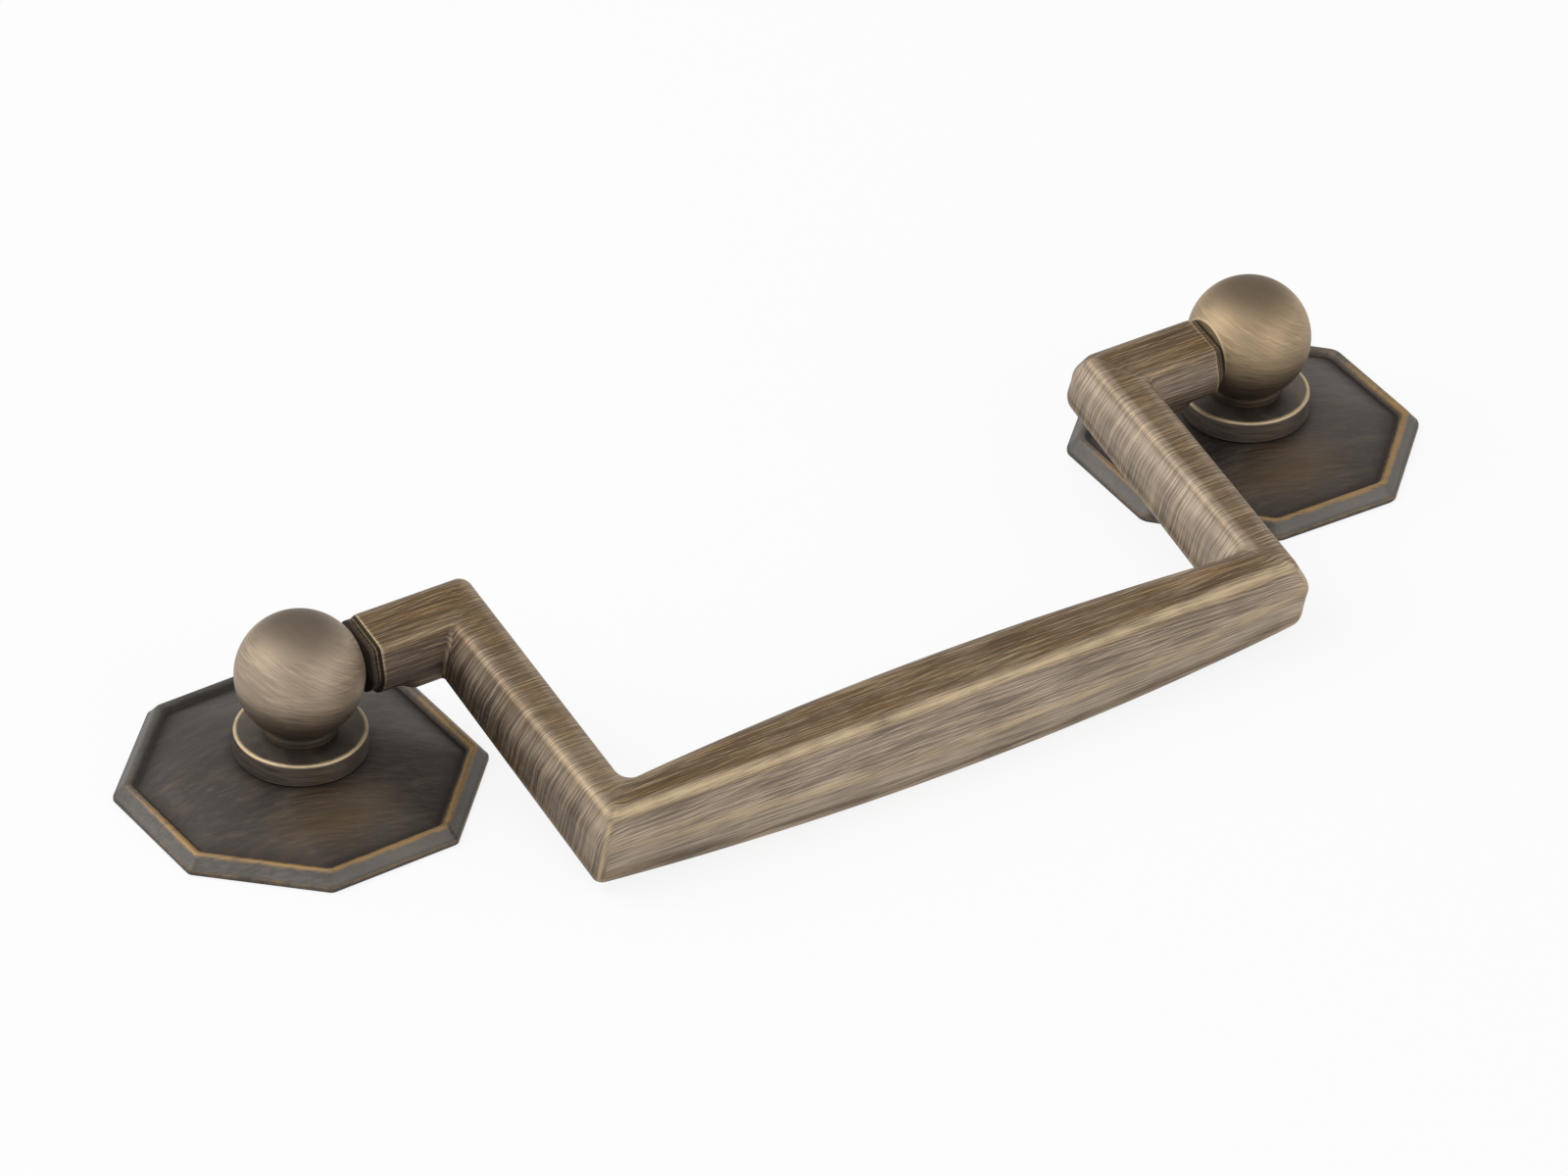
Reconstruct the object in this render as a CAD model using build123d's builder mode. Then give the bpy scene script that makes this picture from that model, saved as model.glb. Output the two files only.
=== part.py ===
from build123d import *
import math
import os

os.makedirs("parts", exist_ok=True)

# Drop pull: a swinging bail between two ball posts, each on a collar and an eight-sided backplate.
# Millimetres. Origin midway between the posts on the mounting plane, +X along the pull,
# -Y the way the bail hangs, +Z out of the mounting plane.

# Overall layout
post_spacing = 128.0
pivot_height = 14.5
bail_rest_gap = 0.1
bail_side_float = 0.32

# Backplates
plate_half_flats = 19.6
plate_corner_radius = 1.0
plate_lip_height = 0.65
plate_lip_step = 0.2
rim_height = 2.1
rim_outer_half = 18.4
rim_width = 0.55
rim_edge_radius = 0.25
rim_crest_share = 0.45
groove_floor = 1.45
groove_wall_run = 0.75
field_rise = 0.28
field_roundness = 0.55
seat_roundness = 0.96
seat_height = 4.5
seat_margin = 0.2
left_plate_turn = 1.6
right_plate_turn = -1.2

# Collars
collar_radius = 7.55
collar_edge_radius = 0.35
collar_foot_bevel = 0.2

# Posts
ball_radius = 7.3
foot_radius = 4.2
foot_height = 0.3
neck_height = 0.7
neck_radius_at_ball = 3.85
cove_start_slope = 0.25
tenon_radius = 3.0
tenon_short = 0.3
tenon_clearance = 0.05
screw_hole_radius = 1.65
screw_hole_depth = 10.0
spot_face_distance = 6.15

# Pivots
pin_radius = 2.5
pin_reach = 5.6
pin_end_bevel = 0.4
pivot_clearance = 0.05
pivot_bore_end = 1.3

# Bail: each set of halves is the half width at the top face, at the side arris and at the back
shoulder_from_post = 8.0
leg_top_x = 44.15
leg_foot_x = 43.8
grip_reach = 33.5
grip_bow = 0.55
top_level = 3.2
arris_level = 0.05
grip_arris_level = -1.6
arm_back_level = -3.75
leg_back_level = -5.0
grip_back_level = -6.25
arm_halves = (2.9, 4.55, 4.8)
leg_top_halves = (2.35, 3.95, 4.15)
leg_foot_halves = (1.95, 3.6, 3.8)
grip_halves = (3.15, 6.4, 6.6)
arris_radius = 0.55

# Turned ends of the arms
arm_end_radius = 5.4
arm_end_length = 1.7
neck_scale = 0.94
neck_length = 1.35
arm_neck_radius = 4.6
ring_groove_radius = 4.25
ring_groove_width = 0.2
ring_groove_pitch = 0.4
ring_groove_count = 2

post_x = post_spacing / 2
rim_inner_half = rim_outer_half - rim_width
groove_half = rim_inner_half - groove_wall_run
seat_radius = collar_radius + seat_margin

# The ball's neck and foot stand on the collar, so the collar makes up the rest of the pivot height
ball_foot_height = pivot_height - math.sqrt(ball_radius**2 - neck_radius_at_ball**2)
foot_top = ball_foot_height - neck_height
collar_top = foot_top - foot_height
collar_height = collar_top - seat_height

# The bail hangs until the outer back edge of the grip meets the mounting plane
grip_edge = grip_reach - grip_bow + grip_halves[2]
rest_reach = math.hypot(grip_edge, grip_back_level)
lean_of_back = math.atan2(-grip_back_level, grip_edge)
drop_angle = math.asin((pivot_height - bail_rest_gap) / rest_reach) - lean_of_back
bail_frame = Plane(
    origin=(bail_side_float, 0, pivot_height),
    x_dir=(1, 0, 0),
    z_dir=(0, -math.sin(drop_angle), math.cos(drop_angle)),
)


def octagon(half_flats, roundness=plate_corner_radius / plate_half_flats):
    """Eight-sided outline, its flats square to X and Y; a roundness of 1 would make it a circle."""
    RegularPolygon(half_flats, 8, major_radius=False, rotation=22.5)
    fillet(vertices(), roundness * half_flats)


def backplate(side, turn):
    """Cast plate: lip, sloping wall, raised rim, groove, crowned field and flat seat for the collar."""
    tilt = math.radians(turn)
    ground = Plane(origin=(side * post_x, 0, 0), x_dir=(math.cos(tilt), math.sin(tilt), 0))
    with BuildPart() as plate:
        with BuildSketch(ground):
            octagon(plate_half_flats)
        extrude(amount=plate_lip_height)
        with BuildSketch(ground.offset(plate_lip_height)):
            octagon(plate_half_flats - plate_lip_step)
        with BuildSketch(ground.offset(rim_height)):
            octagon(rim_outer_half)
        loft(ruled=True)
        with BuildSketch(ground.offset(groove_floor)):
            octagon(groove_half)
        with BuildSketch(ground.offset(rim_height)):
            octagon(rim_inner_half)
        loft(ruled=True, mode=Mode.SUBTRACT)
        fillet(plate.faces().sort_by(Axis.Z)[-1].edges(), min(rim_edge_radius, rim_crest_share * rim_width))
        with BuildSketch(ground.offset(groove_floor)):
            octagon(groove_half)
        with BuildSketch(ground.offset((groove_floor + seat_height) / 2 + field_rise)):
            octagon((groove_half + seat_radius) / 2, field_roundness)
        with BuildSketch(ground.offset(seat_height)):
            octagon(seat_radius, seat_roundness)
        loft()
        with BuildSketch(ground):
            Circle(tenon_radius + tenon_clearance)
        extrude(amount=collar_top, mode=Mode.SUBTRACT)
    return plate.part


def collar(side):
    """Straight ring between the plate and the foot of the post."""
    with BuildPart() as ring:
        with BuildSketch(Plane((side * post_x, 0, seat_height))):
            Circle(collar_radius)
            Circle(tenon_radius + tenon_clearance, mode=Mode.SUBTRACT)
        extrude(amount=collar_height)
        fillet(ring.faces().sort_by(Axis.Z)[-1].outer_wire().edges(), collar_edge_radius)
        chamfer(ring.faces().sort_by(Axis.Z)[0].outer_wire().edges(), collar_foot_bevel)
    return ring.part


def post(side):
    """Turned post: ball, short cove and foot above the collar, tenon and tapped hole below."""
    centre = Vector(side * post_x, 0, 0)
    with BuildPart() as turned:
        with BuildSketch(Plane(centre, x_dir=(1, 0, 0), z_dir=(0, -1, 0))):
            with BuildLine():
                Polyline(
                    (0, pivot_height + ball_radius),
                    (0, tenon_short),
                    (tenon_radius, tenon_short),
                    (tenon_radius, collar_top),
                    (foot_radius, collar_top),
                    (foot_radius, foot_top),
                )
                cove_start = (foot_radius, foot_top)
                cove_end = (neck_radius_at_ball, ball_foot_height)
                TangentArc(cove_start, cove_end, tangent=(-1, cove_start_slope))
                ThreePointArc(cove_end, (ball_radius, pivot_height), (0, pivot_height + ball_radius))
            make_face()
        revolve(axis=Axis(centre, (0, 0, 1)))
        with BuildSketch(Plane(centre)):
            Circle(screw_hole_radius)
        extrude(amount=screw_hole_depth, mode=Mode.SUBTRACT)
        inward = (-side, 0, 0)
        with BuildSketch(Plane((side * (post_x - spot_face_distance), 0, pivot_height), z_dir=inward)):
            Circle(ball_radius)
        extrude(amount=ball_radius, mode=Mode.SUBTRACT)
        with BuildSketch(Plane((side * (post_x - pivot_bore_end), 0, pivot_height), z_dir=inward)):
            Circle(pin_radius + pivot_clearance)
        extrude(amount=ball_radius, mode=Mode.SUBTRACT)
    return turned.part


def section(x, y, turn, halves, levels):
    """House-shaped section across the bail: flat top, bevelled shoulders, near-upright sides, flat back."""
    top, arris, back = halves
    angle = math.radians(turn)
    across = (math.cos(angle), math.sin(angle), 0)
    local = Plane((x, y, 0), x_dir=across, z_dir=(across[1], -across[0], 0))
    with BuildSketch(Plane(bail_frame.location * local.location)) as outline:
        with BuildLine():
            Polyline(
                (top, levels[0]),
                (arris, levels[1]),
                (back, levels[2]),
                (-back, levels[2]),
                (-arris, levels[1]),
                (-top, levels[0]),
                close=True,
            )
        make_face()
    return outline.sketch


def mitred(first, second):
    """Halves along a mitre where two limbs meet square, from the halves of both limbs."""
    return tuple(math.hypot(a, b) for a, b in zip(first, second))


arm_levels = (top_level, arris_level, arm_back_level)
leg_levels = (top_level, arris_level, leg_back_level)
grip_levels = (top_level, grip_arris_level, grip_back_level)
elbow_turn = -math.degrees(math.atan2(arm_halves[1], leg_top_halves[1]))
knee_turn = -45
elbow_halves = mitred(leg_top_halves, arm_halves)
knee_halves = mitred(leg_foot_halves, leg_foot_halves)
shoulder_x = post_x - shoulder_from_post
neck_halves = [neck_scale * half for half in arm_halves]
neck_levels = [neck_scale * level for level in arm_levels]


def turn_down(side, start, length, radius):
    """Turns the end of an arm to a radius about the pivot axis, over a length from a start."""
    with BuildSketch(Plane((side * start + bail_side_float, 0, pivot_height), z_dir=(side, 0, 0))) as waste:
        Circle(2 * arm_end_radius)
        Circle(radius, mode=Mode.SUBTRACT)
    extrude(waste.sketch, amount=length, mode=Mode.SUBTRACT)


with BuildPart() as bail:
    knees = []
    for side, mirrored in ((-1, 180), (1, 0)):
        elbow_turn_here = mirrored + side * elbow_turn
        knee_turn_here = mirrored + side * knee_turn
        shoulder = section(side * shoulder_x, 0, -90, arm_halves, arm_levels)
        elbow = section(side * leg_top_x, 0, elbow_turn_here, elbow_halves, arm_levels)
        knee = section(side * leg_foot_x, -grip_reach, knee_turn_here, knee_halves, leg_levels)
        loft([shoulder, elbow], ruled=True)
        loft([elbow, knee], ruled=True)
        knees.append(knee)
    middle = section(0, grip_bow - grip_reach, -90, grip_halves, grip_levels)
    loft([knees[0], middle, knees[1]])
    ends = bail.faces().filter_by(Axis.X).sort_by(Axis.X)
    end_edges = ends[0].edges() + ends[-1].edges()
    fillet([edge for edge in bail.edges() if edge not in end_edges], arris_radius)
    for side in (-1, 1):
        neck = section(side * shoulder_x, 0, -90, neck_halves, neck_levels)
        extrude(neck, amount=neck_length, dir=(side, 0, 0))
        turn_down(side, shoulder_x - arm_end_length, arm_end_length, arm_end_radius)
        turn_down(side, shoulder_x, neck_length, arm_neck_radius)
        for ring in range(ring_groove_count):
            groove_start = shoulder_x + ring_groove_pitch * (ring + 0.5) - ring_groove_width / 2
            turn_down(side, groove_start, ring_groove_width, ring_groove_radius)
        shoulder_place = (side * shoulder_x + bail_side_float, 0, pivot_height)
        with BuildSketch(Plane(shoulder_place, z_dir=(side, 0, 0))):
            Circle(pin_radius)
        extrude(amount=pin_reach)
        tip = bail.faces().filter_by(Axis.X).sort_by(Axis.X)[0 if side < 0 else -1]
        chamfer(tip.edges(), pin_end_bevel)

pieces = {"bail": bail.part}
for name, side, turn in (("left", -1, left_plate_turn), ("right", 1, right_plate_turn)):
    pieces[name + "_backplate"] = backplate(side, turn)
    pieces[name + "_collar"] = collar(side)
    pieces[name + "_post"] = post(side)
for name, piece in pieces.items():
    piece.label = name
    export_step(piece, "parts/" + name + ".step")
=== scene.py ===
import math
from collections import namedtuple

import bmesh
import bpy
from mathutils import Matrix, Vector


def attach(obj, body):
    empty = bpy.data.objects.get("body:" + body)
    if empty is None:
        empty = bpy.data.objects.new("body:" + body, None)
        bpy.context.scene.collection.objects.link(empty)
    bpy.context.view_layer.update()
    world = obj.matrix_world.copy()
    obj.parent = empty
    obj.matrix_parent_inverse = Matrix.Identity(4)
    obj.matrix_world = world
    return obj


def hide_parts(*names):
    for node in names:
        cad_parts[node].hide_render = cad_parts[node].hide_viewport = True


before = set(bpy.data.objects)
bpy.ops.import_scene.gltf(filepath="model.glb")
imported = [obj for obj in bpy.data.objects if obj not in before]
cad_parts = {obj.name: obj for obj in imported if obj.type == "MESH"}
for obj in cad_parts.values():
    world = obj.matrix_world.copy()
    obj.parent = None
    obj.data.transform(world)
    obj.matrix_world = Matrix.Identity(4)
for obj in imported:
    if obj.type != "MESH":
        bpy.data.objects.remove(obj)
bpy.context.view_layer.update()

# Drop pull in dark antique brass. Sizes are in millimetres and MM turns them into metres.
MM = 0.001

# Camera: turn about Z from the front, height above level, roll, target, lens and clip distances in metres
view_turn = math.radians(-33.4135)
view_height = math.radians(35.4994)
view_roll = math.radians(1.1236)
view_target = Vector((43.258, 65.950, -53.951)) * MM
view_distance = 1121.36 * MM
lens_length = 205.868
sensor_width = 36
view_start, view_end = 0.01, 20

# Soft boxes: place, width and height in metres, and watts
soft_boxes = {
    "key": ((-0.66, 0.42, 0.80), 0.9, 0.8, 6.0),
    "front": ((0.35, -0.95, 0.45), 1.0, 0.6, 1.9),
    "top": ((-0.15, -0.30, 1.0), 0.8, 0.6, 0.9),
}

# World and floor: light all round, floor in metres, and how white it is to the camera and in reflections
white = (1, 1, 1, 1)
world_light = 0.5
floor_size = 4
floor_drop = 0.0001
floor_colour = (0.93, 0.93, 0.93, 1)
floor_roughness = 0.9
floor_white = 0.86

# Posts, collars and the pivot axis, and how far the bail stands to the right of the middle
post_x = 64.0
pivot_height = 14.5
ball_radius = 7.3
spot_face_distance = 6.15
seat_height = 4.5
collar_radius = 7.55
collar_top = 7.3
foot_radius = 4.2
foot_top = 7.6
bail_side_float = 0.32

# Bail: half widths and levels at the top face, at the side arris and at the back
shoulder_x = 56.0
leg_top_x = 44.15
leg_foot_x = 43.8
grip_reach = 33.5
grip_bow = 0.55
bail_rest_gap = 0.1
arm_halves = (2.9, 4.55, 4.8)
leg_top_halves = (2.35, 3.95, 4.15)
leg_foot_halves = (1.95, 3.6, 3.8)
grip_halves = (3.15, 6.4, 6.6)
arm_levels = (3.2, 0.05, -3.75)
leg_foot_levels = (3.2, 0.05, -5.7)
grip_levels = (3.2, -1.6, -6.25)

# Radius of each arris of a limb: inner top, inner side, inner back, outer back, outer side, outer top
arm_arrises = (0.9, 3.0, 0.8, 0.8, 3.0, 0.9)
leg_arrises = (1.2, 4.0, 0.8, 0.8, 4.0, 1.3)
grip_arrises = (0.8, 2.0, 0.8, 0.8, 2.0, 1.1)
inner_back, outer_back = 2, 3
arris_steps = 4

# Bail seen from above: radius on the outer and on the inner side of each bend. Going down, the outer
# radius turns into that of its side: the share of it is the share of the depth times a gain, less a start.
elbow_outer, elbow_inner = 1.4, 0.35
elbow_outer_side = {"left": 2.4, "right": 3.6}
elbow_depth_gain = 1.8
knee_outer, knee_inner = 0.9, 2.2
knee_outer_side = {"left": 0.9, "right": 2.2}
knee_depth_gain, knee_depth_start = 2, 1

# Rings along half of the bail, and the handle's share of the radius in a curve that is nearly an arc
arm_steps, leg_steps, grip_steps, bend_steps = 12, 14, 26, 11
arc_handle = 0.5523

# Round boss at the end of each arm, under its flat top
boss_radius = 4.95
boss_length = 2.6
boss_run_out = 1.8
boss_start_level = -0.8
boss_edge = 2.0

# The right arm reaches this much nearer to its ball than the left one
right_arm_reach = 0.55

# Turned ends: distance out from the shoulder, radius it is turned to, size against the arm, rub, and
# painted shade in the gap between the arm and the ball
neck_size = 0.94
end_turning = (
    (-0.45, 5.40, 1.0, 0.0, 0.0),
    (-0.25, 5.40, 1.0, 0.5, 0.0),
    (-0.06, 5.40, 0.99, 0.9, 0.0),
    (0.00, 5.22, 0.97, 0.2, 0.7),
    (0.03, 4.42, neck_size, 0.0, 1.0),
    (0.12, 4.40, neck_size, 0.1, 0.8),
    (0.15, 4.10, 0.88, 0.0, 1.0),
    (0.27, 4.10, 0.88, 0.0, 1.0),
    (0.30, 4.40, neck_size, 0.5, 0.5),
    (0.50, 4.40, neck_size, 0.5, 0.5),
    (0.53, 4.10, 0.88, 0.0, 1.0),
    (0.67, 4.10, 0.88, 0.0, 1.0),
    (0.70, 4.40, neck_size, 0.5, 0.5),
    (1.00, 4.40, neck_size, 0.2, 0.8),
    (1.25, 4.40, neck_size, 0.1, 0.9),
    (1.34, 4.25, neck_size, 0.0, 1.0),
)

# Pins: radius, painted shade, and distances out from the shoulder with the radius at each
pin_radius = 2.5
pin_shade = 0.9
pin_turning = ((1.35, pin_radius), (5.2, pin_radius), (5.6, pin_radius - 0.4))

# Painted light and shade on the facets of each limb, given as a tone: top, inner bevel, inner side, back,
# outer side, outer bevel. A tone below zero is painted shade.
facet_painted_light = {
    "left arm": (0.00, 0.25, 0.15, 0.15, -0.45, -0.10),
    "right arm": (-0.05, 0.25, 0.15, 0.15, -0.05, 0.10),
    "left leg top": (0.15, 0.40, 0.30, 0.15, 0.00, 0.25),
    "left leg foot": (0.20, 0.40, 0.30, 0.15, 0.20, 0.52),
    "right leg top": (0.15, 1.00, 0.50, 0.15, 0.25, 0.40),
    "right leg foot": (0.15, 1.00, 0.50, 0.15, 0.25, 0.40),
    "grip": (0.10, 0.25, 0.25, 0.20, 0.62, 0.36),
}

# Facets given a cooler painted reflection than the top, and the share of a side's painted light that is
# left at its lower edge
cool_reflection_facets = (0, 1, 1, 1, 1, 1)
back_fade = 0.3

# How far each arris is rubbed: inner top, inner side, inner back, outer back, outer side, outer top
arris_rub = {
    "left arm": (0.3, 0.0, 0.1, 0.1, 0.0, 0.35),
    "right arm": (0.3, 0.0, 0.1, 0.1, 0.0, 0.3),
    "left leg top": (0.4, 0.0, 0.1, 0.1, 0.0, 0.1),
    "left leg foot": (0.4, 0.0, 0.1, 0.2, 0.0, 0.5),
    "right leg top": (0.15, 0.0, 0.2, 0.2, 0.0, 0.3),
    "right leg foot": (0.15, 0.0, 0.2, 0.2, 0.0, 0.3),
    "grip": (0.25, 0.3, 0.2, 0.3, 0.68, 0.9),
}

# Rub of an arris: how far it runs out on the faces beside it, and how much it falls to its own edges
glow_width = 0.6
glow_fall = 0.4

# Mitre lines at the bends: rub, how narrow each is, and the levels it runs between
elbow_mitre, elbow_mitre_narrow, elbow_mitre_levels = 0.5, 1.4, (-2.5, 2.6)
knee_mitre, knee_mitre_narrow, knee_mitre_levels = 1.0, 1.6, (-10.0, 2.0)

# Backplates: turn, roundness, half widths and heights. A roundness of 1 makes the eight sides a circle.
plate_turn = {"left": math.radians(1.6), "right": math.radians(-1.2)}
plate_roundness = {"left": 0.051, "right": 0.10}
plate_half = 19.6
bore_half = 3.05
seat_half = 7.75
seat_roundness = 0.96
groove_half = 17.05
groove_height = 1.45
field_rise = 0.28
field_rings = 12

# Painted shade on the field: under the collar, a shadow at the seat's edge, in the groove, and on the
# back, with how fast the painted shade at the edge and in the groove falls away
bore_shade = 0.6
seat_shade, seat_shade_fall = 0.4, 8
groove_shade, groove_shade_fall = 0.55, 5
back_shade = 1.0

# Rings from the groove over the rim and the lip to the back: half width, height, rub, painted shade and
# tone. The painted shade lies in the groove, under the wall and at the foot of the lip; the tone is a
# painted reflection, lightest on the outer wall.
rim_rings = (
    (17.12, 1.40, 0.0, 0.70, 0.0),
    (17.25, 1.45, 0.1, 0.60, 0.1),
    (17.42, 1.62, 0.5, 0.30, 0.2),
    (17.66, 1.90, 0.9, 0.05, 0.3),
    (17.86, 2.05, 1.0, 0.0, 0.4),
    (18.08, 2.10, 1.0, 0.0, 0.5),
    (18.30, 2.05, 1.0, 0.0, 0.5),
    (18.46, 1.92, 0.6, 0.0, 0.6),
    (18.62, 1.72, 0.1, 0.0, 0.7),
    (19.20, 0.96, 0.0, 0.0, 0.8),
    (19.36, 0.76, 0.0, 0.1, 0.7),
    (19.48, 0.66, 0.3, 0.1, 0.5),
    (19.56, 0.58, 0.5, 0.0, 0.4),
    (plate_half, 0.46, 0.4, 0.0, 0.3),
    (plate_half, 0.06, 0.1, 0.2, 0.3),
    (19.54, 0.00, 0.0, 0.6, 0.2),
)

# Eight-sided outline: half the turn of a corner, steps on each half of it, and points along a side
half_corner = math.radians(22.5)
corner_steps = 4
side_shares = (0.04, 0.35, 0.65, 0.96)

# Brush strokes come in three layers. For each layer: its share, its turn, and how often the strokes
# change in a millimetre along and across them. Those round a turned piece have no turn, and are
# drawn out along their arcs.
layer_shares = (0.48, 0.44, 0.08)
layer_gain = 1.4
stroke_contrast = 0.10
bail_strokes = ((0.03, -0.08, 0.01), (0.07, 0.11, 0.03), (4.6, 7.4, 0.8))
plate_strokes = ((0.35, 0.25, 0.3), (0.15, 0.1, 0.04), (3.0, 1.6, 0.35))
ball_level_arcs = (3.4, 5.0, 0.9)
ball_leaning_arcs = (3.8, 5.6, 0.8)
collar_arcs = (3.0, 4.5, 1.0)
arc_stretch = 0.06
stroke_break_up = 0.55

# How far the strokes round a turned piece tip along X
level_lean, leaning_lean, collar_lean = 0.15, 0.7, 0.05

# Heights above the pivot between which the look of a ball changes, and from which share to which.
# The crown and the underside are painted shade, going from none to their own.
leaning_band, leaning_shares = (-1.0, 4.0), (0.15, 0.8)
calm_band, calm_shares = (4.0, 6.6), (1.0, 0.2)
crown_band = (4.2, ball_radius)
under_band = {"left": (1.5, 3.0 - ball_radius), "right": (3.0, 3.0 - ball_radius)}
crown_shade, under_shade = 0.65, 0.85

# Painted highlight, a lighter patch on the front of each backplate: middle, stretch on each axis, and
# where it fades
highlight_middle = (-1.5, -11.0, 3.0)
highlight_stretch = (0.7, 1.2, 0.3)
highlight_edge, highlight_core = 8.0, 0.5

# The rims are rubbed most at the front and least at the back: places along Y, and amounts
rim_rub_back, rim_rub_front = 12.0, -6.0
rim_rub_least = 0.15

# Rubbed edges of the turned pieces: rub, how far it reaches from the edge's level, and how far inside
# the radius it starts and is full. The flat face that the bail comes to has a reach of its own.
turned_edge_rub = 1.3
turned_edge_reach = 0.35
foot_edge_drop = 0.1
foot_edge_start, foot_edge_full = 0.3, 0.05
collar_edge_start, collar_edge_full = 0.65, 0.25
spot_face_reach = 0.25

# Patina: clouds that the tone drifts in, gold streaks along X, and how bright a stroke turns straw
drift_scale, drift_band, drift_reach = 0.12, (0.3, 0.7), 0.15
streak_scale, streak_band, streak_share = (0.05, 0.9, 0.9), (0.42, 0.70), 0.6
hair_start = 0.70

# Rub: clouds that break it up, their weight and that of the strokes, and what it takes to show
rub_cloud_scale = 0.22
rub_cloud_weight, rub_stroke_weight = 0.9, 0.35
rub_band = (0.05, 0.75)

# Shader of the metal: roughness of its own and with strokes, rub and painted shade, and the strokes'
# relief
metal_share = 0.85
bare_roughness = 0.44
stroke_roughness, rub_roughness, shade_roughness = 0.12, 0.04, 0.15
relief_strength = 0.35
relief_depth = 0.03

FLOAT, VECTOR, COLOUR = "NodeSocketFloat", "NodeSocketVector", "NodeSocketColor"

# A rail is one lengthwise line of a limb's outline; a station is a place on it along half of the bail,
# where limb names the looks before and after it and the share between them. A point of a mesh has its
# place in metres, and its grain is where it lies in millimetres on the surface opened flat.
Rail = namedtuple("Rail", "across level glow tone")
Station = namedtuple("Station", "x y level grain limb mitre")
Point = namedtuple("Point", "place grain arris grime tone cool")


def display(red, green, blue):
    """Linear colour from a display colour of 0 to 255."""
    shares = [value / 255 for value in (red, green, blue)]
    return tuple(s / 12.92 if s < 0.04045 else ((s + 0.055) / 1.055) ** 2.4 for s in shares) + (1,)


def blend(low, high, share):
    """Value between low and high."""
    return low + (high - low) * share


def limited(value):
    """Value kept between 0 and 1."""
    return min(1, max(0, value))


class Wiring:
    """Adds nodes to a tree and joins their sockets."""

    def __init__(self, tree):
        self.tree = tree

    def feed(self, socket, value):
        """Links a socket to another one, or sets it to a plain value."""
        if isinstance(value, bpy.types.NodeSocket):
            self.tree.links.new(value, socket)
        else:
            socket.default_value = value

    def add(self, kind, inputs=None, **settings):
        """New node with its settings and what goes into it."""
        node = self.tree.nodes.new(kind)
        for name, value in settings.items():
            setattr(node, name, value)
        for name, value in (inputs or {}).items():
            self.feed(node.inputs[name], value)
        return node

    def math(self, operation, first, second=0.0, clamp=False):
        inputs = {0: first, 1: second}
        return self.add("ShaderNodeMath", inputs, operation=operation, use_clamp=clamp).outputs[0]

    def ramp(self, value, low, high, start=0.0, end=1.0):
        """Smooth step of a value from low to high, put out as start to end."""
        inputs = {"Value": value, "From Min": low, "From Max": high, "To Min": start, "To Max": end}
        return self.add("ShaderNodeMapRange", inputs, interpolation_type="SMOOTHSTEP").outputs["Result"]

    def near(self, value, level, width):
        """One at a level, falling to nothing a width away."""
        return self.ramp(self.math("ABSOLUTE", self.math("SUBTRACT", value, level)), width, 0.0)

    def mix(self, share, first, second):
        """Colour between two."""
        return self.add("ShaderNodeMix", {0: share, 6: first, 7: second}, data_type="RGBA").outputs[2]

    def vector(self, operation, first, second):
        return self.add("ShaderNodeVectorMath", {0: first, 1: second}, operation=operation).outputs[0]

    def length(self, place):
        return self.add("ShaderNodeVectorMath", {0: place}, operation="LENGTH").outputs["Value"]

    def axes(self, place):
        return self.add("ShaderNodeSeparateXYZ", {0: place}).outputs

    def joined(self, x, y, z):
        return self.add("ShaderNodeCombineXYZ", {"X": x, "Y": y, "Z": z}).outputs[0]

    def noise(self, place, scale=1.0, detail=3.0, roughness=0.5):
        inputs = {"Vector": place, "Scale": scale, "Detail": detail, "Roughness": roughness}
        return self.add("ShaderNodeTexNoise", inputs).outputs["Fac"]

    def effect(self, name, inputs):
        """One of the shared effects."""
        return self.add("ShaderNodeGroup", inputs, node_tree=effects[name]).outputs


def new_material(name):
    """New material and its wiring."""
    material = bpy.data.materials.new(name)
    material.use_nodes = True
    return material, Wiring(material.node_tree)


def set_camera():
    """Camera at the photograph's viewing angle."""
    back = Vector((math.sin(view_turn) * math.cos(view_height),
                   -math.cos(view_turn) * math.cos(view_height),
                   math.sin(view_height)))
    level = Vector((math.cos(view_turn), math.sin(view_turn), 0))
    upright = back.cross(level)
    across = math.cos(view_roll) * level + math.sin(view_roll) * upright
    up = math.cos(view_roll) * upright - math.sin(view_roll) * level
    turned = Matrix((across, up, back)).transposed().to_4x4()
    camera = bpy.data.objects.new("camera", bpy.data.cameras.new("camera"))
    bpy.context.collection.objects.link(camera)
    camera.matrix_world = Matrix.Translation(view_target + view_distance * back) @ turned
    camera.data.lens = lens_length
    camera.data.sensor_width = sensor_width
    camera.data.clip_start = view_start
    camera.data.clip_end = view_end
    bpy.context.scene.camera = camera


def soft_light(name, place, width, height, watts):
    """Rectangular soft box at a place, turned to the pull."""
    lamp = bpy.data.lights.new(name, "AREA")
    lamp.shape = "RECTANGLE"
    lamp.size = width
    lamp.size_y = height
    lamp.energy = watts
    box = bpy.data.objects.new(name, lamp)
    bpy.context.collection.objects.link(box)
    box.location = place
    box.rotation_euler = (-Vector(place)).to_track_quat("-Z", "Y").to_euler()


def backdrop_share(net, share):
    """Share of a backdrop's own white: only for rays from the camera, off metal or through glass."""
    path = net.add("ShaderNodeLightPath").outputs
    thrown = net.math("MAXIMUM", path["Is Glossy Ray"], path["Is Transmission Ray"])
    return net.math("MULTIPLY", net.math("MAXIMUM", path["Is Camera Ray"], thrown), share)


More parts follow.
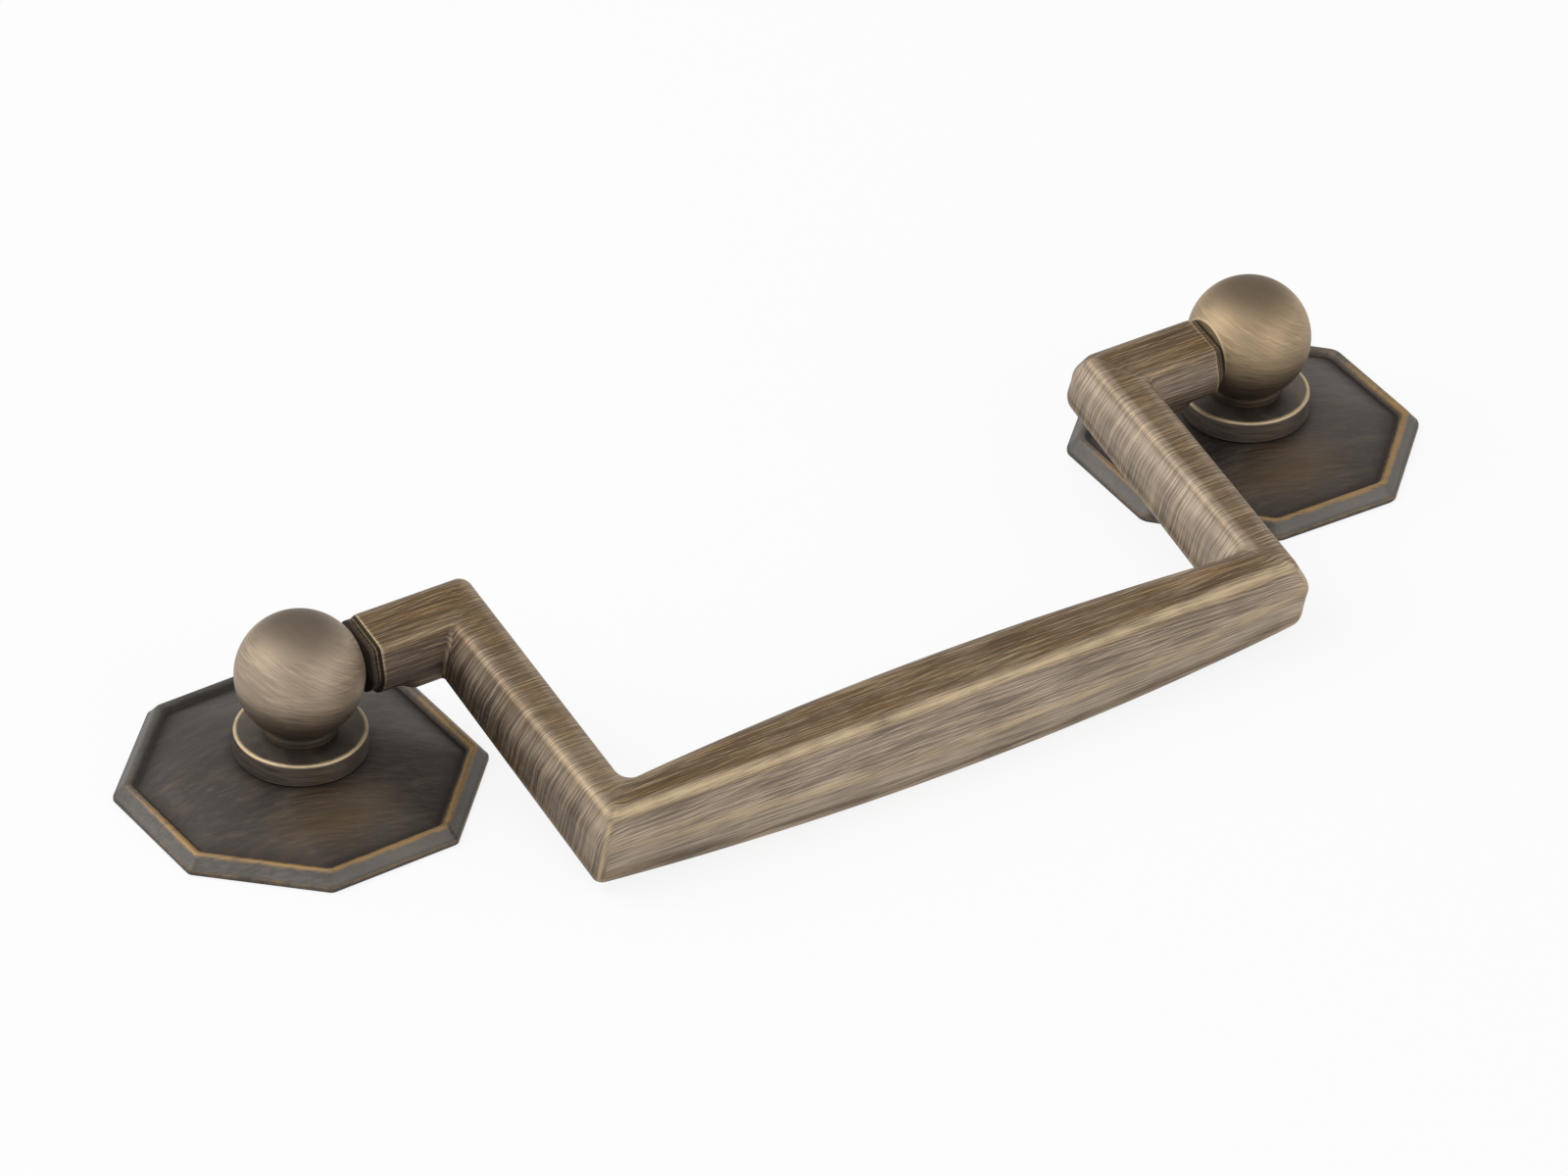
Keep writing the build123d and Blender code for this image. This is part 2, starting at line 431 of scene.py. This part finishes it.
def build_studio():
    """World that is white to the camera and in reflections, and the soft boxes."""
    scene = bpy.context.scene
    scene.view_settings.view_transform = "Standard"
    world = bpy.data.worlds.new("studio")
    scene.world = world
    world.use_nodes = True
    world.node_tree.nodes.clear()
    net = Wiring(world.node_tree)
    light = net.add("ShaderNodeBackground", {"Color": white, "Strength": world_light})
    backdrop = net.add("ShaderNodeBackground", {"Color": white, "Strength": 1.0})
    shares = {0: backdrop_share(net, 1.0), 1: light.outputs[0], 2: backdrop.outputs[0]}
    net.add("ShaderNodeOutputWorld", {"Surface": net.add("ShaderNodeMixShader", shares).outputs[0]})
    for name, box in soft_boxes.items():
        soft_light(name, *box)


def build_floor():
    """Pale floor that looks white to the camera and still takes a shadow."""
    bpy.ops.mesh.primitive_plane_add(size=floor_size, location=(0, 0, -floor_drop))
    floor = bpy.context.object
    floor.name = "floor"
    material, net = new_material("floor")
    shader = net.tree.nodes["Principled BSDF"]
    shader.inputs["Base Color"].default_value = floor_colour
    shader.inputs["Roughness"].default_value = floor_roughness
    glow = net.add("ShaderNodeEmission", {"Color": white, "Strength": 1.0})
    shares = {0: backdrop_share(net, floor_white), 1: shader.outputs[0], 2: glow.outputs[0]}
    surface = net.tree.nodes["Material Output"].inputs["Surface"]
    net.feed(surface, net.add("ShaderNodeMixShader", shares).outputs[0])
    floor.data.materials.append(material)


def new_effect(name, inputs, outputs):
    """New shader node group with named sockets: its wiring, its inputs and its outputs."""
    tree = bpy.data.node_groups.new(name, "ShaderNodeTree")
    for label, kind, value in inputs:
        socket = tree.interface.new_socket(label, in_out="INPUT", socket_type=kind)
        socket.default_value = value
    for label, kind in outputs:
        tree.interface.new_socket(label, in_out="OUTPUT", socket_type=kind)
    net = Wiring(tree)
    return net, net.add("NodeGroupInput").outputs, net.add("NodeGroupOutput").inputs


def make_strokes():
    """Brush strokes: long thin noise along the first direction of a place in millimetres."""
    net, given, out = new_effect("brush_strokes", (
        ("Place", VECTOR, (0, 0, 0)),
        ("Turn", FLOAT, 0.0),
        ("Along", FLOAT, 0.1),
        ("Across", FLOAT, 4.0),
        ("Contrast", FLOAT, 0.16),
    ), [("Strokes", FLOAT)])
    turned = net.add("ShaderNodeVectorRotate", {"Vector": given["Place"], "Angle": given["Turn"]},
                     rotation_type="Z_AXIS").outputs[0]
    scale = net.joined(given["Along"], given["Across"], given["Across"])
    noise = net.noise(net.vector("MULTIPLY", turned, scale), roughness=stroke_break_up)
    low = net.math("SUBTRACT", 0.5, given["Contrast"])
    high = net.math("ADD", 0.5, given["Contrast"])
    net.feed(out["Strokes"], net.ramp(noise, low, high))
    return net.tree


def make_rub():
    """Rubbed edge: an edge mask broken up by cloudy noise and by the strokes."""
    net, given, out = new_effect("rubbed_edge", (
        ("Edge", FLOAT, 0.0),
        ("Place", VECTOR, (0, 0, 0)),
        ("Strokes", FLOAT, 0.5),
        ("Amount", FLOAT, 1.0),
    ), [("Rub", FLOAT)])
    cloud = net.noise(given["Place"], scale=rub_cloud_scale, detail=2.0)
    lift = net.math("ADD", net.math("MULTIPLY", cloud, rub_cloud_weight),
                    net.math("MULTIPLY", given["Strokes"], rub_stroke_weight))
    edge = net.math("MULTIPLY", net.math("MULTIPLY", given["Edge"], given["Amount"]), lift)
    net.feed(out["Rub"], net.ramp(edge, *rub_band))
    return net.tree


def make_patina():
    """Antique brass: tone from brown to grey beige, strokes, rubbed edges and painted shade."""
    net, given, out = new_effect("antique_patina", (
        ("Brown", COLOUR, display(112, 93, 73)),
        ("Beige", COLOUR, display(159, 143, 127)),
        ("Straw", COLOUR, display(190, 170, 138)),
        ("Shade", COLOUR, display(46, 39, 34)),
        ("Gold", COLOUR, display(138, 106, 66)),
        ("Tone", FLOAT, 0.5),
        ("Strokes", FLOAT, 0.5),
        ("Depth", FLOAT, 0.6),
        ("Rub", FLOAT, 0.0),
        ("Grime", FLOAT, 0.0),
        ("Hairs", FLOAT, 0.25),
        ("Place", VECTOR, (0, 0, 0)),
    ), (("Color", COLOUR), ("Roughness", FLOAT), ("Height", FLOAT)))

    # Base colour: the tone drifts in clouds, and gold shows through the brown in long streaks
    clouds = net.noise(given["Place"], scale=drift_scale)
    drift = net.ramp(clouds, *drift_band, -drift_reach, drift_reach)
    tone = net.math("ADD", given["Tone"], drift, clamp=True)
    streaks = net.noise(net.vector("MULTIPLY", given["Place"], streak_scale), detail=2.0)
    brown = net.mix(net.ramp(streaks, *streak_band, 0.0, streak_share), given["Brown"], given["Gold"])
    base = net.mix(tone, brown, given["Beige"])

    # Strokes darken and lighten it, and the brightest are straw hairs
    darkest = net.math("SUBTRACT", 1.0, net.math("MULTIPLY", given["Depth"], 0.5))
    level = net.math("ADD", darkest, net.math("MULTIPLY", given["Strokes"], given["Depth"]))
    stroked = net.vector("MULTIPLY", base, net.joined(level, level, level))
    bright = net.math("MULTIPLY", net.ramp(given["Strokes"], hair_start, 1.0), given["Hairs"])
    haired = net.mix(bright, stroked, given["Straw"])
    rubbed = net.mix(given["Rub"], haired, given["Straw"])
    # Painted shade darkens the colour towards the shade colour
    net.feed(out["Color"], net.mix(given["Grime"], rubbed, given["Shade"]))

    grain = net.math("MULTIPLY", given["Strokes"], stroke_roughness)
    worn = net.math("MULTIPLY", given["Rub"], rub_roughness)
    dull = net.math("MULTIPLY", given["Grime"], shade_roughness)
    bare = net.math("ADD", grain, bare_roughness)
    net.feed(out["Roughness"], net.math("ADD", bare, net.math("ADD", worn, dull)))
    net.feed(out["Height"], given["Strokes"])
    return net.tree


def place_of(net, centre_x):
    """Place on the piece in millimetres, from an upright axis at a place along X."""
    place = net.add("ShaderNodeTexCoord").outputs["Object"]
    scaled = net.add("ShaderNodeVectorMath", {0: place, 3: 1 / MM}, operation="SCALE").outputs[0]
    return net.vector("SUBTRACT", scaled, (centre_x, 0, 0))


def attribute(net, name, output="Fac"):
    """Value that the mesh carries."""
    node = net.add("ShaderNodeAttribute", attribute_name=name, attribute_type="GEOMETRY")
    return node.outputs[output]


def stroke_layers(net, place, turns, along, across):
    """Layers of strokes that cross each other a little, added up and drawn apart by a gain."""
    layers = []
    for turn, length, width, share in zip(turns, along, across, layer_shares):
        laid = {"Place": place, "Turn": turn, "Along": length, "Across": width,
                "Contrast": stroke_contrast}
        strokes = net.effect("strokes", laid)["Strokes"]
        layers.append(net.math("MULTIPLY", strokes, share))
    total = layers[0]
    for layer in layers[1:]:
        total = net.math("ADD", total, layer)
    spread = net.math("MULTIPLY", net.math("SUBTRACT", total, 0.5), layer_gain)
    return net.math("ADD", spread, 0.5, clamp=True)


def turned_strokes(net, place, lean, density):
    """Strokes that run level round a turned piece; a lean tips them along X."""
    upright = net.add("ShaderNodeVectorMath", {0: place, 1: (lean, 0, 1)}, operation="DOT_PRODUCT")
    drawn_out = net.axes(net.vector("MULTIPLY", place, (arc_stretch, arc_stretch, 0)))
    lying = net.joined(drawn_out["X"], drawn_out["Y"], upright.outputs["Value"])
    return stroke_layers(net, lying, (0, 0, 0), density, density)


def rim_mask(net, place, level, radius, start):
    """Mask of a turned edge: near its level, and from a start out to the radius where it is full."""
    flat_radius = net.length(net.vector("MULTIPLY", place, (1, 1, 0)))
    height = net.axes(place)["Z"]
    at_level = net.near(height, level, turned_edge_reach)
    return net.math("MULTIPLY", at_level, net.ramp(flat_radius, start, radius))


def finish_brass(net, place, strokes, edge, amount, looks):
    """Rubs the edges by an amount and wires the patina, with its looks, to the shader of the metal."""
    worn = {"Edge": edge, "Place": place, "Strokes": strokes, "Amount": amount}
    rub = net.effect("rub", worn)["Rub"]
    patina = net.effect("patina", {"Place": place, "Strokes": strokes, "Rub": rub, **looks})
    shader = net.tree.nodes["Principled BSDF"]
    net.feed(shader.inputs["Base Color"], patina["Color"])
    net.feed(shader.inputs["Roughness"], patina["Roughness"])
    shader.inputs["Metallic"].default_value = metal_share
    relief = {"Strength": relief_strength, "Distance": relief_depth * MM, "Height": patina["Height"]}
    net.feed(shader.inputs["Normal"], net.add("ShaderNodeBump", relief).outputs[0])


def bail_metal():
    """Bail: strokes follow the grain that the mesh carries, arrises rubbed to straw, painted light and
    shade on the facets.
    """
    material, net = new_material("bail_brass")
    grain = attribute(net, "grain", "Vector")
    # Tone and cool that the mesh carries are painted light, shade and reflection on the facets; a tone
    # below zero adds painted shade
    tone, cool = attribute(net, "tone"), attribute(net, "cool")
    looks = {
        "Tone": tone,
        "Grime": net.math("MAXIMUM", attribute(net, "grime"), net.math("MULTIPLY", tone, -1.0)),
        "Depth": 0.76,
        "Hairs": 0.3,
        "Brown": net.mix(cool, display(99, 81, 60), display(106, 93, 82)),
        "Beige": net.mix(cool, display(156, 138, 116), display(176, 160, 142)),
        "Gold": net.mix(cool, display(119, 92, 57), display(116, 98, 78)),
    }
    strokes = stroke_layers(net, grain, *bail_strokes)
    finish_brass(net, grain, strokes, attribute(net, "arris"), 1.0, looks)
    return material


def plate_metal(side, sign):
    """Backplate: dark field with faint strokes and a painted highlight patch, gold brown crest."""
    material, net = new_material(side + "_plate_brass")
    place = place_of(net, sign * post_x)
    # Painted highlight: the brown turns warmer and lighter in a patch on the front
    from_highlight = net.vector("MULTIPLY", net.vector("SUBTRACT", place, highlight_middle), highlight_stretch)
    highlight = net.ramp(net.length(from_highlight), highlight_edge, highlight_core)
    # The tone that the mesh carries is a painted reflection on the rim, and its painted shade lies by the
    # collar, in the groove and at the foot
    looks = {
        "Tone": attribute(net, "tone"),
        "Grime": attribute(net, "grime"),
        "Depth": 0.2,
        "Hairs": 0.05,
        "Brown": net.mix(highlight, display(66, 61, 58), display(88, 73, 55)),
        "Beige": display(104, 100, 95),
        "Gold": display(84, 74, 64),
        "Straw": display(150, 122, 84),
    }
    amount = net.ramp(net.axes(place)["Y"], rim_rub_back, rim_rub_front, rim_rub_least, 1.0)
    strokes = stroke_layers(net, place, *plate_strokes)
    finish_brass(net, place, strokes, attribute(net, "arris"), amount, looks)
    return material


def post_metal(side, sign):
    """Post: fine arcs round the ball, painted shade on the crown and underside, rims rubbed bright."""
    material, net = new_material(side + "_post_brass")
    place = place_of(net, sign * post_x)
    axes = net.axes(place)
    above = net.math("SUBTRACT", axes["Z"], pivot_height)

    # Arcs run level low down and lean higher up, and they are calm on the crown
    leaning = net.ramp(above, *leaning_band, *leaning_shares)
    leaning_arcs = turned_strokes(net, place, leaning_lean, ball_leaning_arcs)
    level_arcs = turned_strokes(net, place, level_lean, ball_level_arcs)
    high_arcs = net.math("MULTIPLY", leaning_arcs, leaning)
    low_arcs = net.math("MULTIPLY", level_arcs, net.math("SUBTRACT", 1.0, leaning))
    arcs = net.math("SUBTRACT", net.math("ADD", high_arcs, low_arcs), 0.5)
    calm = net.ramp(above, *calm_band, *calm_shares)
    strokes = net.math("ADD", 0.5, net.math("MULTIPLY", arcs, calm))

    # Painted shade on the crown and the underside of the ball
    crown = net.math("MULTIPLY", net.ramp(above, *crown_band), crown_shade)
    under = net.math("MULTIPLY", net.ramp(above, *under_band[side]), under_shade)
    looks = {
        "Tone": 0.78,
        "Grime": net.math("MAXIMUM", crown, under),
        "Depth": 0.38,
        "Hairs": 0.3,
        "Beige": display(166, 150, 131) if side == "left" else display(170, 149, 120),
    }
    spot_face = net.near(axes["X"], -sign * spot_face_distance, spot_face_reach)
    foot = rim_mask(net, place, foot_top - foot_edge_drop, foot_radius - foot_edge_full,
                    foot_radius - foot_edge_start)
    finish_brass(net, place, strokes, net.math("MAXIMUM", spot_face, foot), turned_edge_rub, looks)
    return material


def collar_metal(side, sign):
    """Collar: dark side and top, thin bright rim."""
    material, net = new_material(side + "_collar_brass")
    place = place_of(net, sign * post_x)
    looks = {
        "Tone": 0.2,
        "Depth": 0.2,
        "Hairs": 0.05,
        "Brown": display(92, 84, 77),
        "Beige": display(124, 114, 104),
        "Gold": display(94, 82, 66),
    }
    rim = rim_mask(net, place, collar_top, collar_radius - collar_edge_full,
                   collar_radius - collar_edge_start)
    strokes = turned_strokes(net, place, collar_lean, collar_arcs)
    finish_brass(net, place, strokes, rim, turned_edge_rub, looks)
    return material


def direction(first, second):
    """Unit vector from one corner of an outline to another."""
    length = math.dist(first, second)
    return ((second[0] - first[0]) / length, (second[1] - first[1]) / length)


def shifted(point, way, distance):
    """Point moved a distance along a way."""
    return (point[0] + way[0] * distance, point[1] + way[1] * distance)


def house_outline(halves, levels, radii, tones=(0,) * 6, rubs=(1,) * 6):
    """Rails round a limb, from the middle of the top by way of the inner side and the back."""
    top, arris, back = halves
    corners = [(top, levels[0]), (arris, levels[1]), (back, levels[2]),
               (-back, levels[2]), (-arris, levels[1]), (-top, levels[0])]
    rails = []
    for index, corner in enumerate(corners):
        following = (index + 1) % 6
        before, after = corners[index - 1], corners[following]
        arriving, leaving = direction(before, corner), direction(corner, after)
        turn = math.acos(max(-1, min(1, arriving[0] * leaving[0] + arriving[1] * leaving[1])))
        radius = radii[index]
        start = shifted(corner, arriving, -radius * math.tan(turn / 2))
        hub = shifted(start, (arriving[1], -arriving[0]), radius)
        first_angle = math.atan2(start[1] - hub[1], start[0] - hub[0])
        # Painted light and shade of each facet; a side's is faded at its lower edge, towards the back
        tone_before = tones[index] * (back_fade if index == inner_back else 1)
        tone_between = (tones[index] + tones[following]) / 2
        tone_after = tones[following] * (back_fade if index == outer_back else 1)
        rails.append(Rail((before[0] + corner[0]) / 2, (before[1] + corner[1]) / 2, 0.0, tones[index]))
        rails.append(Rail(*shifted(start, arriving, -glow_width), 0.0, tone_before))
        for step in range(arris_steps + 1):
            angle = first_angle - turn * step / arris_steps
            end = shifted(hub, (math.cos(angle), math.sin(angle)), radius)
            glow = (1 - glow_fall * abs(2 * step / arris_steps - 1)) * rubs[index]
            rails.append(Rail(*end, glow, tone_between))
        rails.append(Rail(*shifted(end, leaving, glow_width), 0.0, tone_after))
    return rails


def unfolded(rails):
    """Width of each rail with the outline opened flat: plus on the inner side, minus on the outer."""
    widths = [0.0]
    for first, second in zip(rails, rails[1:]):
        widths.append(widths[-1] + math.dist(first[:2], second[:2]))
    around = widths[-1] + math.dist(rails[-1][:2], rails[0][:2])
    return [width if width < around / 2 else width - around for width in widths]


def bend(corner, arriving, leaving, radius):
    """Points of a rounded bend on a plan from its start to its end, each with its share of the way."""
    slack = radius * (1 - arc_handle)
    handles = (corner - arriving * radius, corner - arriving * slack,
               corner + leaving * slack, corner + leaving * radius)
    points = []
    for step in range(bend_steps):
        share = step / (bend_steps - 1)
        rest = 1 - share
        weights = (rest**3, 3 * rest**2 * share, 3 * rest * share**2, share**3)
        place = sum((handle * weight for handle, weight in zip(handles, weights)), Vector((0, 0)))
        points.append((share, place))
    return points


def bend_radii(arm, leg_foot, side):
    """Radii of the elbow and of the knee seen from above, on one rail."""
    depth = (arm_levels[0] - arm.level) / (arm_levels[0] - arm_levels[2])
    elbow_far = blend(elbow_outer, elbow_outer_side[side], min(1, elbow_depth_gain * depth))
    knee_depth = max(0, knee_depth_gain * depth - knee_depth_start)
    knee_far = blend(knee_outer, knee_outer_side[side], knee_depth)
    elbow_share = (arm.across / arm_halves[2] + 1) / 2
    knee_share = (leg_foot.across / leg_foot_halves[2] + 1) / 2
    return blend(elbow_inner, elbow_far, elbow_share), blend(knee_far, knee_inner, knee_share)


def mitre_rub(share, rub, narrow, rail, levels):
    """Rub of a mitre line, most in the middle of a bend, on the outer side between two levels."""
    on_line = rail.across < 0 and levels[0] < rail.level < levels[1]
    return rub * max(0, 1 - abs(2 * share - 1) * narrow) if on_line else 0


def half_rail(index, shapes, widths, side):
    """One rail of a half of the bail, laid out on the left, from the shoulder to the grip's middle."""
    arm, leg_top, leg_foot, grip = (shape[index] for shape in shapes)
    arm_width, leg_top_width, leg_foot_width, grip_width = (width[index] for width in widths)
    elbow = Vector((leg_top.across - leg_top_x, arm.across))
    knee = Vector((leg_foot.across - leg_foot_x, leg_foot.across - grip_reach))
    middle_y = grip_bow - grip_reach + grip.across
    down = (knee - elbow).normalized()
    along = Vector((1, 2 * (knee.y - middle_y) / knee.x)).normalized()
    elbow_radius, knee_radius = bend_radii(arm, leg_foot, side)
    on_arm, on_leg, on_foot, on_grip = (("arm", "arm", 0), ("leg top", "leg foot", 0),
                                        ("leg top", "leg foot", 1), ("grip", "grip", 0))
    stations = []

    arm_start = -shoulder_x - end_turning[0][0]
    for step in range(arm_steps):
        x = blend(arm_start, elbow.x - elbow_radius, (step + 0.5) / arm_steps)
        across, level = on_boss(elbow.y, arm.level, x + shoulder_x)
        stations.append(Station(x, across, level, (x, arm_width), on_arm, 0))

    for share, place in bend(elbow, Vector((1, 0)), down, elbow_radius):
        grain = (blend(place.x, leg_top_width - leg_top_x, share), blend(arm_width, place.y, share))
        mitre = mitre_rub(share, elbow_mitre, elbow_mitre_narrow, arm, elbow_mitre_levels)
        level = blend(arm.level, leg_top.level, share)
        stations.append(Station(*place, level, grain, on_leg if share > 0.5 else on_arm, mitre))

    leg_start, leg_end = elbow + down * elbow_radius, knee - down * knee_radius
    for step in range(1, leg_steps):
        share = step / leg_steps
        place = leg_start.lerp(leg_end, share)
        middle_x = blend(-leg_top_x, -leg_foot_x, share)
        grain = (middle_x + blend(leg_top_width, leg_foot_width, share), place.y)
        level = blend(leg_top.level, leg_foot.level, share)
        stations.append(Station(*place, level, grain, ("leg top", "leg foot", share), 0))

    for share, place in bend(knee, down, along, knee_radius):
        grain = (blend(leg_foot_width - leg_foot_x, place.x, share),
                 blend(place.y, leg_foot_width - grip_reach, share))
        mitre = mitre_rub(share, knee_mitre, knee_mitre_narrow, leg_foot, knee_mitre_levels)
        limb = on_grip if share > 0.5 else on_foot
        stations.append(Station(*place, leg_foot.level, grain, limb, mitre))

    grip_start = knee.x + along.x * knee_radius
    for step in range(1, grip_steps + 1):
        x = blend(grip_start, 0, step / grip_steps)
        share = (x / knee.x) ** 2
        grain = (x, blend(grip_width, leg_foot_width, share) - grip_reach)
        level = blend(grip.level, leg_foot.level, share)
        stations.append(Station(x, blend(middle_y, knee.y, share), level, grain, on_grip, 0))
    return stations


def on_boss(across, level, inward):
    """Point of an arm's outline, drawn to the round boss, at a distance inward from the shoulder."""
    run = limited((boss_length + boss_run_out - inward) / boss_run_out)
    below = limited((boss_start_level - level) / boss_edge)
    share = run * run * (3 - 2 * run) * below
    stretch = blend(1, boss_radius / math.hypot(across, level), share)
    return across * stretch, level * stretch


def end_rings(arm, sign):
    """Rings of one turned end from the tip of the pin to the arm: points, rub and painted shade of each.
    """
    outlines = []
    for distance, radius in reversed(pin_turning):
        sizes = [radius / math.hypot(rail.across, rail.level) for rail in arm]
        points = [(rail.across * size, rail.level * size) for rail, size in zip(arm, sizes)]
        outlines.append((distance, points, 0.0, pin_shade))
    for distance, radius, size, rub, grime in reversed(end_turning):
        points = []
        for rail in arm:
            across, level = on_boss(rail.across, rail.level, max(0, -distance))
            cut = min(size, radius / math.hypot(across, level))
            points.append((across * cut, level * cut))
        outlines.append((distance, points, rub, grime))
    reach = right_arm_reach if sign > 0 else 0
    neck_end = pin_turning[0][0]
    rings = []
    for distance, points, rub, grime in outlines:
        x = sign * (shoulder_x + distance + reach * limited(1 - distance / neck_end))
        rings.append(([(x, across, level) for across, level in points], rub, grime))
    return rings


def drop_angle():
    """Angle at which the outer back edge of the grip meets the mounting plane."""
    edge = grip_reach - grip_bow + grip_halves[2]
    reach = math.hypot(edge, grip_levels[2])
    return math.asin((pivot_height - bail_rest_gap) / reach) - math.atan2(-grip_levels[2], edge)


def build_bail():
    """Bail: rails along the limbs with rounded bends, and the turned ends with their necks and pins."""
    shapes = [house_outline(arm_halves, arm_levels, arm_arrises),
              house_outline(leg_top_halves, arm_levels, leg_arrises),
              house_outline(leg_foot_halves, leg_foot_levels, leg_arrises),
              house_outline(grip_halves, grip_levels, grip_arrises)]
    arm, rail_count = shapes[0], len(shapes[0])
    widths = [unfolded(shape) for shape in shapes]
    # Painted light, shade and arris rub of each limb's facets, and which facets get the cooler painted
    # reflection
    looks = {limb: house_outline(arm_halves, arm_levels, arm_arrises, tones, arris_rub[limb])
             for limb, tones in facet_painted_light.items()}
    cools = [rail.tone for rail in house_outline(arm_halves, arm_levels, arm_arrises, cool_reflection_facets)]
    drop = drop_angle()
    rings = []

    def add_ring(points, grains, rubs, grime, side, limb):
        """Adds one ring of points, each turned down with the bail."""
        first, second = (looks[part if part == "grip" else side + " " + part] for part in limb[:2])
        ring = []
        for index, (x, y, z) in enumerate(points):
            place = Vector((x + bail_side_float, y * math.cos(drop) - z * math.sin(drop),
                            pivot_height + y * math.sin(drop) + z * math.cos(drop)))
            glow = 0 if grime else blend(first[index].glow, second[index].glow, limb[2])
            tone = blend(first[index].tone, second[index].tone, limb[2])
            rub = max(rubs[index], glow)
            ring.append(Point(place * MM, grains[index], rub, grime, tone, cools[index]))
        rings.append(ring)

    def add_end(ring_list, side):
        """Adds the rings of a turned end."""
        for points, rub, grime in ring_list:
            grains = [(x, width, 0) for (x, _, _), width in zip(points, widths[0])]
            add_ring(points, grains, [rub] * rail_count, grime, side, ("arm", "arm", 0))

    def add_half(rails, side, sign, stations):
        """Adds the rings of a half of the bail; sign is 1 on the left, where rails are laid out."""
        for station in stations:
            entries = [rail[station] for rail in rails]
            add_ring([(sign * entry.x, entry.y, entry.level) for entry in entries],
                     [(sign * entry.grain[0], entry.grain[1], 0) for entry in entries],
                     [entry.mitre for entry in entries], 0.0, side, entries[0].limb)

    left, right = ([half_rail(index, shapes, widths, side) for index in range(rail_count)]
                   for side in ("left", "right"))
    stations = range(len(left[0]))
    add_end(end_rings(arm, -1), "left")
    add_half(left, "left", 1, stations)
    add_half(right, "right", -1, reversed(stations[:-1]))
    add_end(reversed(end_rings(arm, 1)), "right")
    return ringed_mesh("bail_casting", rings, closed_ends=True)


def set_values(mesh, name, kind, field, values):
    """Writes a list of numbers to the points of the mesh."""
    mesh.attributes.new(name, kind, "POINT").data.foreach_set(field, values)


def ringed_mesh(name, rings, closed_ends=False):
    """Mesh of quads between rings; its ends are capped, or its last ring meets its first."""
    count = len(rings[0])
    points = [point for ring in rings for point in ring]
    faces = []
    for row in range(len(rings) - 1 if closed_ends else len(rings)):
        here, there = row * count, (row + 1) % len(rings) * count
        for index in range(count):
            after = (index + 1) % count
            faces.append((here + index, here + after, there + after, there + index))
    if closed_ends:
        last_start = (len(rings) - 1) * count
        faces.append(tuple(range(count)))
        faces.append(tuple(range(last_start, last_start + count)))
    mesh = bpy.data.meshes.new(name)
    mesh.from_pydata([point.place for point in points], [], faces)
    grains = [part for point in points for part in point.grain]
    set_values(mesh, "grain", "FLOAT_VECTOR", "vector", grains)
    for label in ("arris", "grime", "tone", "cool"):
        set_values(mesh, label, "FLOAT", "value", [getattr(point, label) for point in points])
    shell = bmesh.new()
    shell.from_mesh(mesh)
    bmesh.ops.recalc_face_normals(shell, faces=shell.faces)
    for face in shell.faces:
        face.smooth = True
    shell.to_mesh(mesh)
    shell.free()
    piece = bpy.data.objects.new(name, mesh)
    bpy.context.collection.objects.link(piece)
    return piece


def octagon_points(half, roundness):
    """Points round an eight-sided outline with rounded corners, its flats square to X and Y."""
    radius = half * roundness
    hub_distance = (half - radius) / math.cos(half_corner)
    corners = []
    for corner in range(8):
        facing = (2 * corner + 1) * half_corner
        hub = Vector((math.cos(facing), math.sin(facing))) * hub_distance
        steps = range(-corner_steps, corner_steps + 1)
        angles = [facing + half_corner * step / corner_steps for step in steps]
        corners.append([hub + Vector((math.cos(angle), math.sin(angle))) * radius for angle in angles])
    points = []
    for corner, following in zip(corners, corners[1:] + corners[:1]):
        points.extend(corner)
        points.extend(corner[-1].lerp(following[0], share) for share in side_shares)
    return points


def build_plate(side, sign):
    """Backplate as rings from the bore over the seat, field, groove, rim and lip to the back."""
    levels = [(bore_half, seat_height, 1.0, 0.0, bore_shade, 0.0)]
    for step in range(field_rings + 1):
        share = step / field_rings
        half = blend(seat_half, groove_half, share)
        height = blend(seat_height, groove_height, share) + 4 * field_rise * share * (1 - share)
        roundness = blend(seat_roundness, plate_roundness[side], share)
        # Painted shade: a shadow at the seat's edge by the collar, and shade in the groove
        grime = (seat_shade * max(0, 1 - seat_shade_fall * share)
                 + groove_shade * max(0, 1 - groove_shade_fall * (1 - share)))
        levels.append((half, height, roundness, 0.0, grime, 0.0))
    for half, height, rub, grime, tone in rim_rings:
        levels.append((half, height, plate_roundness[side], rub, grime, tone))
    levels.append((bore_half, 0.0, 1.0, 0.0, back_shade, 0.0))
    turn = plate_turn[side]
    rings = []
    for half, height, roundness, rub, grime, tone in levels:
        ring = []
        for point in octagon_points(half, roundness):
            x = point.x * math.cos(turn) - point.y * math.sin(turn) + sign * post_x
            y = point.x * math.sin(turn) + point.y * math.cos(turn)
            ring.append(Point(Vector((x, y, height)) * MM, (x, y, 0), rub, grime, tone, 0.0))
        rings.append(ring)
    return ringed_mesh(side + "_plate_casting", rings)


effects = {"strokes": make_strokes(), "rub": make_rub(), "patina": make_patina()}
set_camera()
build_studio()
build_floor()

bail = build_bail()
bail.data.materials.append(bail_metal())
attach(bail, "handle")
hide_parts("bail")

for side, sign in (("left", -1), ("right", 1)):
    plate = build_plate(side, sign)
    plate.data.materials.append(plate_metal(side, sign))
    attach(plate, "base")
    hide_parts(side + "_backplate")
    for node_name, metal in ((side + "_post", post_metal), (side + "_collar", collar_metal)):
        material = metal(side, sign)
        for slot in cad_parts[node_name].material_slots:
            slot.material = material
